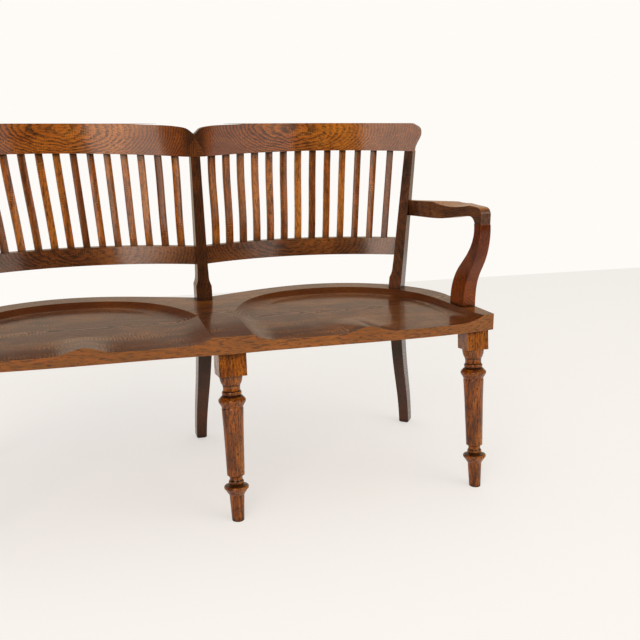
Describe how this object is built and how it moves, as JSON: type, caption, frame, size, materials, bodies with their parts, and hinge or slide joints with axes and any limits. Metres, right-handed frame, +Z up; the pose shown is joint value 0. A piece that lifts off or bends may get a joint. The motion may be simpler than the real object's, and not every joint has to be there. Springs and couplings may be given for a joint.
{
  "type": "two-seat chair-back settee",
  "caption": "Two-seat wooden settee with a double curved slat back, dished plank seat, scrolled open arms and turned front legs.",
  "frame": {"origin": "on the floor, under the middle of the object's box", "axes": "+X to the right of someone who stands in front and faces the settee, +Y to the back, +Z up"},
  "size_m": [1.312, 0.6101, 0.8914],
  "materials": {
    "polished_oak": "polished dark golden oak",
    "back_oak": "polished dark brown oak",
    "turned_oak": "worn golden oak",
    "dowel_wood": "bare beech"
  },
  "bodies": {
    "root": {"arm_back_dowels": "dowel_wood", "arm_left": "polished_oak", "arm_right": "polished_oak", "arm_support_left": "polished_oak", "arm_support_right": "polished_oak", "back_post_left": "back_oak", "back_post_middle": "back_oak", "back_post_right": "back_oak", "crest_dowels": "dowel_wood", "crest_middle_block": "polished_oak", "crest_rail_left": "polished_oak", "crest_rail_right": "polished_oak", "front_leg_left": "turned_oak", "front_leg_middle": "turned_oak", "front_leg_right": "turned_oak", "knee_dowels": "dowel_wood", "lower_back_rail_left": "back_oak", "lower_back_rail_right": "back_oak", "post_dowels": "dowel_wood", "seat": "polished_oak", "slat_left_01": "back_oak", "slat_left_02": "back_oak", "slat_left_03": "back_oak", "slat_left_04": "back_oak", "slat_left_05": "back_oak", "slat_left_06": "back_oak", "slat_left_07": "back_oak", "slat_left_08": "back_oak", "slat_left_09": "back_oak", "slat_left_10": "back_oak", "slat_left_11": "back_oak", "slat_left_12": "back_oak", "slat_left_13": "back_oak", "slat_right_01": "back_oak", "slat_right_02": "back_oak", "slat_right_03": "back_oak", "slat_right_04": "back_oak", "slat_right_05": "back_oak", "slat_right_06": "back_oak", "slat_right_07": "back_oak", "slat_right_08": "back_oak", "slat_right_09": "back_oak", "slat_right_10": "back_oak", "slat_right_11": "back_oak", "slat_right_12": "back_oak", "slat_right_13": "back_oak", "support_dowels": "dowel_wood"}
  },
  "joints": []
}
